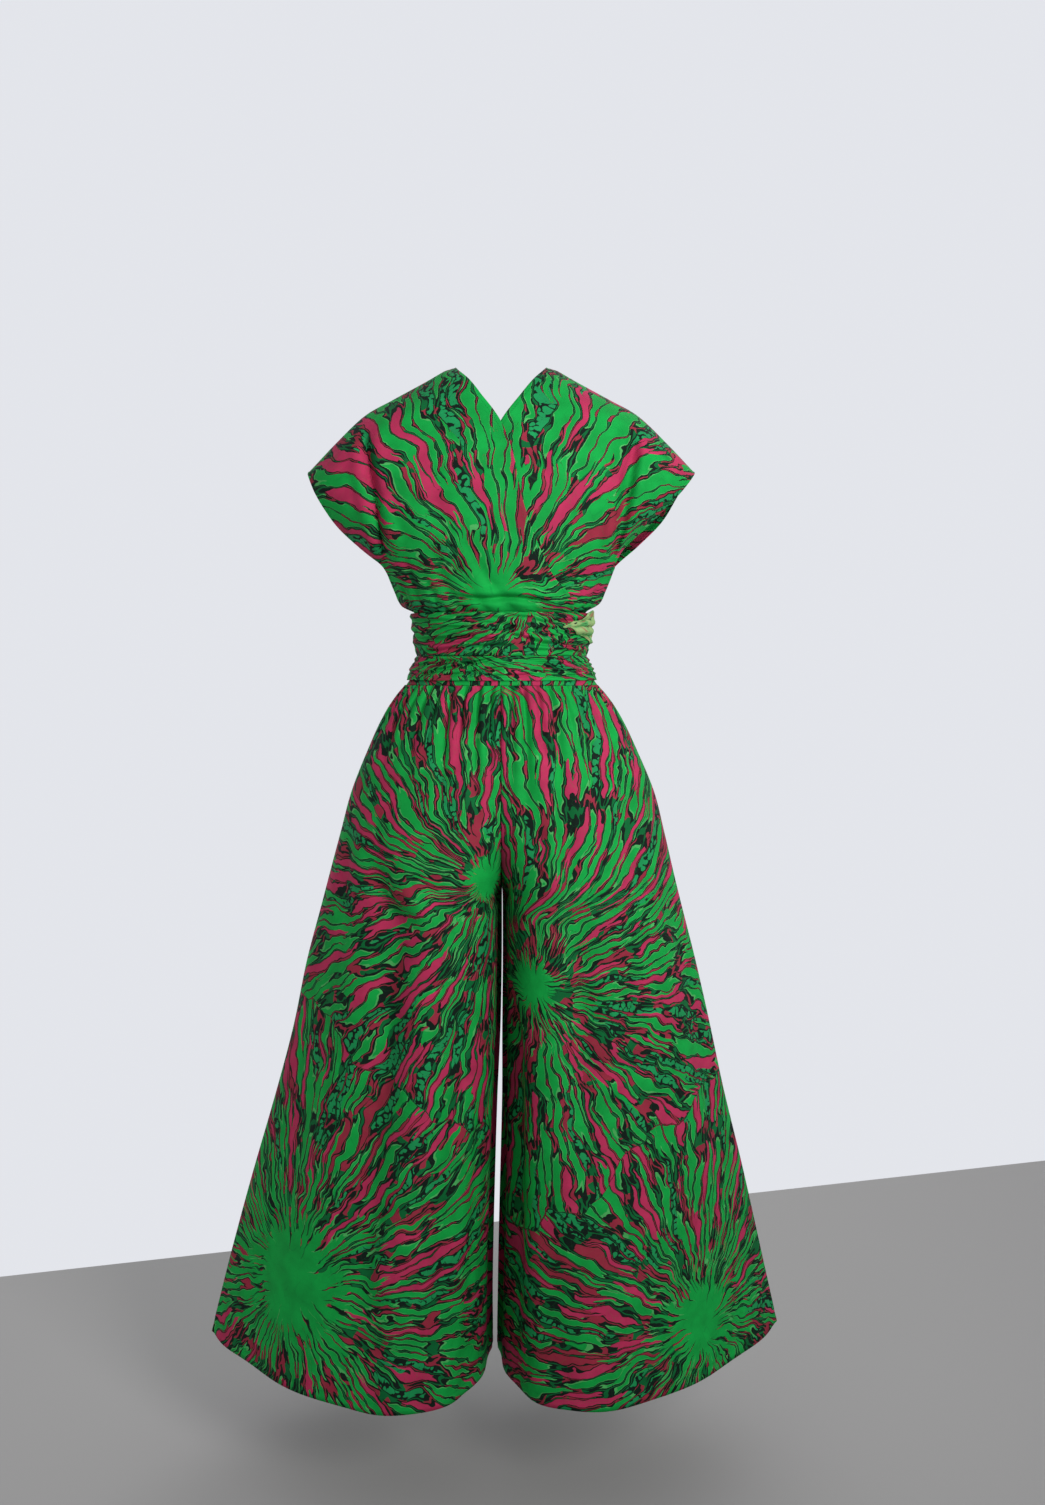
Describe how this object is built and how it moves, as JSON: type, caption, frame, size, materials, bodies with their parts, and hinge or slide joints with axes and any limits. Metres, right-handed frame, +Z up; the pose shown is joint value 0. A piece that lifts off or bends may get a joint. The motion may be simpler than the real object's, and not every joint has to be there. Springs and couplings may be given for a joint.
{
  "type": "infinity jumpsuit",
  "caption": "Hollow worn-form wrap jumpsuit: crossed strap bodice with cap sleeves, wrapped sash and very wide gathered trouser legs in wax-print cotton.",
  "frame": {"origin": "midway between the shoulders at the height of the neckline's edge, where the wearer's shoulders hold the straps up", "axes": "+Z up along the body, -Y out of the garment's back, +Y out of its front, -X towards the wearer's left"},
  "size_m": [0.82, 0.39, 1.39],
  "materials": {
    "wax_print_cotton": "crisp plain-weave cotton, wax print of green and pink with dark outlines"
  },
  "bodies": {
    "root": {"strap_left": "wax_print_cotton", "strap_right": "wax_print_cotton", "sash_upper": "wax_print_cotton", "sash_lower": "wax_print_cotton", "waistband": "wax_print_cotton", "trouser_left_back": "wax_print_cotton", "trouser_left_front": "wax_print_cotton", "trouser_right_back": "wax_print_cotton", "trouser_right_front": "wax_print_cotton"}
  },
  "joints": []
}
